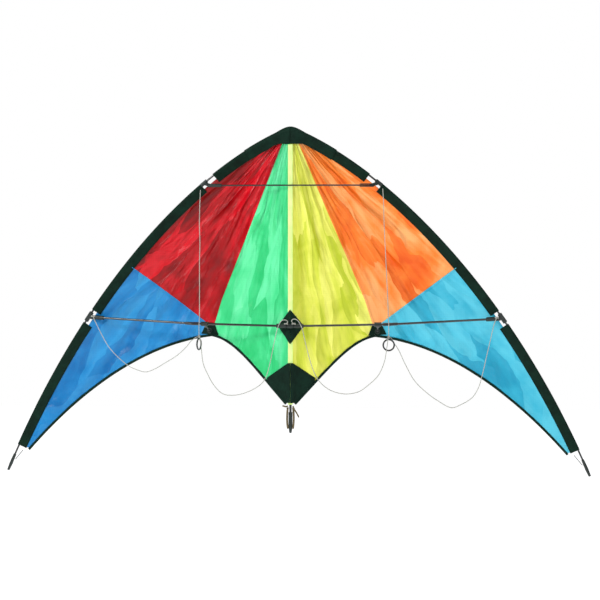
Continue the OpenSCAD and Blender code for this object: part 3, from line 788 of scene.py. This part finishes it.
def make_patches():
    z_rows = 28
    for side, sign in SIDES.items():
        wing = side + "_wing"
        steps = [i / z_rows for i in range(z_rows + 1)]
        a = [(0.3, -377.5 - 71 * u) for u in steps]
        b = [(0.4 + 26.8 * (1 - abs(u - 0.48) / (0.48 if u < 0.48 else 0.52)), -377.5 - 71 * u)
             for u in steps]
        patch = cloth_sheet(f"{side}_centre_cloth", a, b, 12, side, TRIM, PATCH_THICK, -0.9, 0.0,
                            over_spine=3.2)
        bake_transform(patch)
        finish_piece(patch, None, "black_trim", f"{side}_centre_patch")
        a = [(0.3, -488 - 83 * u) for u in steps]
        b = [lerp((5, -488), (52, -521), u / 0.4) if u < 0.4
             else cubic(SCALLOP, 0.75 + 0.245 * (u - 0.4) / 0.6) for u in steps]
        patch = cloth_sheet(f"{side}_keel_cloth", a, b, 16, side, TRIM, PATCH_THICK, -1.2, 0.15,
                            over_spine=2.4)
        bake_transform(patch)
        finish_piece(patch, None, "black_trim", f"{side}_keel_patch")
        steps = [i / 14 for i in range(15)]
        a = [lerp((167, -409), (158, -434), u) for u in steps]
        b = [lerp((184, -407), (196, -432), u) for u in steps]
        patch = cloth_sheet(f"{side}_standoff_cloth", a, b, 12, side, TRIM, PATCH_THICK, -1.2, 0.1)
        finish_piece(patch, wing, "black_trim", f"{side}_standoff_patch")


make_patches()


def make_spine_tape():
    """A pale tape down the middle, front and back, with the pocket's bulge round the spine."""
    spans = ((-37, -395.6), (-426.4, -574))
    profile = [(-4.9, -3.4), (-4.2, -3.6), (-3.2, -3.9), (-1.6, -4.2), (0, -4.3), (1.6, -4.2),
               (3.2, -3.9), (4.2, -3.6), (4.9, -3.4), (4.9, -2.7), (3.7, -1.0), (3.3, 1.2),
               (1.8, 3.1), (0, 3.6), (-1.8, 3.1), (-3.3, 1.2), (-3.7, -1.0), (-4.9, -2.7)]
    verts, uvs, stitch, faces = [], [], [], []
    n = len(profile)
    for z0, z1 in spans:
        rows = max(8, int(abs(z1 - z0) / 5))
        base = len(verts)
        for i in range(rows + 1):
            z = z0 + (z1 - z0) * i / rows
            for x, y in profile:
                verts.append((x * MM, (y + 0.12 * math.sin(z / 9 + x)) * MM, z * MM))
                uvs.append((x * MM, z * MM))
                stitch.append((z * MM, (4.4 - abs(x)) * MM))
        for i in range(rows):
            for k in range(n):
                a, b = base + i * n + k, base + i * n + (k + 1) % n
                faces.append((a, a + n, b + n, b))
        faces.append(tuple(base + k for k in range(n)))
        faces.append(tuple(base + rows * n + k for k in range(n - 1, -1, -1)))
    piece = mesh_object("spine_tape", verts, faces, uvs, stitch, TAPE)
    finish_piece(piece, "root", "spine_tape", "spine_sleeve")


make_spine_tape()


TAIL_CORD_R = (0.0022, 0.0016)


def make_tail_elastic():
    strands = [[(-5.5, -1, -580), (-6.6, -1, -592), (-6.9, -1, -606), (-6, -1, -619), (-4.8, -1, -624)],
               [(5.5, -1, -580), (6.6, -1, -592), (6.9, -1, -606), (6, -1, -619), (4.8, -1, -624)],
               [(5.4, -4, -577), (9, -6, -584), (14, -7, -592), (18, -7, -600)],
               [(-5.4, -4, -577), (-9, -6, -578), (-16, -7, -576)]]
    for i, strand in enumerate(strands):
        points = curve_points([tuple(v * MM for v in p) for p in strand])
        piece = tube(f"tail_elastic_{i + 1}", points, TAIL_CORD_R[i // 2], ELASTIC, 12)
        finish_piece(piece, "root", "elastic_cord", "tail_cord")


make_tail_elastic()


# ---------------------------------------------------------------- CAD parts keep their shape and take these
CAD_LOOKS = {"black_rod": ROD, "ferrule_tube": FERRULE, "moulded_fitting": FITTING, "tow_ring": RING,
             "black_cord": BLACK_CORD, "black_trim": TRIM, "white_cord": CORD, "elastic_cord": ELASTIC,
             "spine_tape": TAPE}


def dress_cad():
    slots = {s["node"]: s["material_slot"] for s in frame["record"]["subparts"]}
    for name, obj in frame["nodes"].items():
        look = CAD_LOOKS.get(slots.get(name)) or SAIL.get(slots.get(name))
        if look:
            for s in obj.material_slots:
                s.material = look


dress_cad()


# ---------------------------------------------------------------- stage
FLOOR_Z = -1.15
LAMP_TARGET = (0, 0, -0.35)
LAMPS = (  # name, place, size in metres, watts
    ("key", (-1.7, -1.3, 0.7), 0.45, 34),
    ("fill", (1.8, -1.8, 0.1), 0.7, 12),
    ("top", (0.3, -0.7, 1.5), 0.7, 13),
)


def make_stage():
    """Floor, lamps and world. The world lights the kite dimly from the front and white from behind,
    and the camera itself sees plain white."""
    m, tree, s = new_material("backdrop")
    glow = node(tree, "Emission", {"Color": (1, 1, 1, 1), "Strength": 0.75})
    s.inputs["Base Color"].default_value = (0.9, 0.9, 0.9, 1)
    s.inputs["Roughness"].default_value = 0.9
    add = tree.nodes.new("ShaderNodeAddShader")
    tree.links.new(s.outputs[0], add.inputs[0])
    tree.links.new(glow.outputs[0], add.inputs[1])
    tree.links.new(add.outputs[0], tree.nodes["Material Output"].inputs[0])
    corners = [(x, y, FLOOR_Z) for x, y in ((-6, -6), (6, -6), (6, 6), (-6, 6))]
    floor = mesh_object("floor", corners, [(0, 1, 2, 3)], material=m)
    world = bpy.data.worlds.new("studio")
    bpy.context.scene.world = world
    world.use_nodes = True
    tree = world.node_tree
    direction = node(tree, "TexCoord").outputs["Generated"]
    height = node(tree, "SeparateXYZ", {0: direction}).outputs["Z"]
    away = node(tree, "Math", {0: height}, operation="ABSOLUTE").outputs[0]
    level = node(tree, "MapRange", {"Value": away, "From Min": 0.24, "From Max": 0.46,
                                    "To Min": 1.0, "To Max": 0.0}).outputs[0]
    behind = node(tree, "MapRange", {"Value": node(tree, "SeparateXYZ", {0: direction}).outputs["Y"],
                                     "From Min": 0.3, "From Max": 0.6}).outputs[0]
    white = calc(tree, "MULTIPLY", level, behind)
    bright = ramp(tree, white, [(0.0, (0.34, 0.35, 0.36, 1)), (1.0, (1, 1, 1, 1))])
    seen = node(tree, "LightPath").outputs["Is Camera Ray"]
    plain = mix_colour(tree, seen, bright, (1, 1, 1, 1))
    tree.links.new(plain, tree.nodes["Background"].inputs[0])
    tree.nodes["Background"].inputs[1].default_value = 1.0
    for name, place, size, power in LAMPS:
        data = bpy.data.lights.new(name, "AREA")
        data.size = size
        data.energy = power
        lamp = bpy.data.objects.new(name, data)
        lamp.location = place
        lamp.rotation_euler = (Vector(LAMP_TARGET) - Vector(place)).to_track_quat("-Z", "Y").to_euler()
        bpy.context.scene.collection.objects.link(lamp)
    bpy.context.scene.view_settings.view_transform = "Standard"


make_stage()
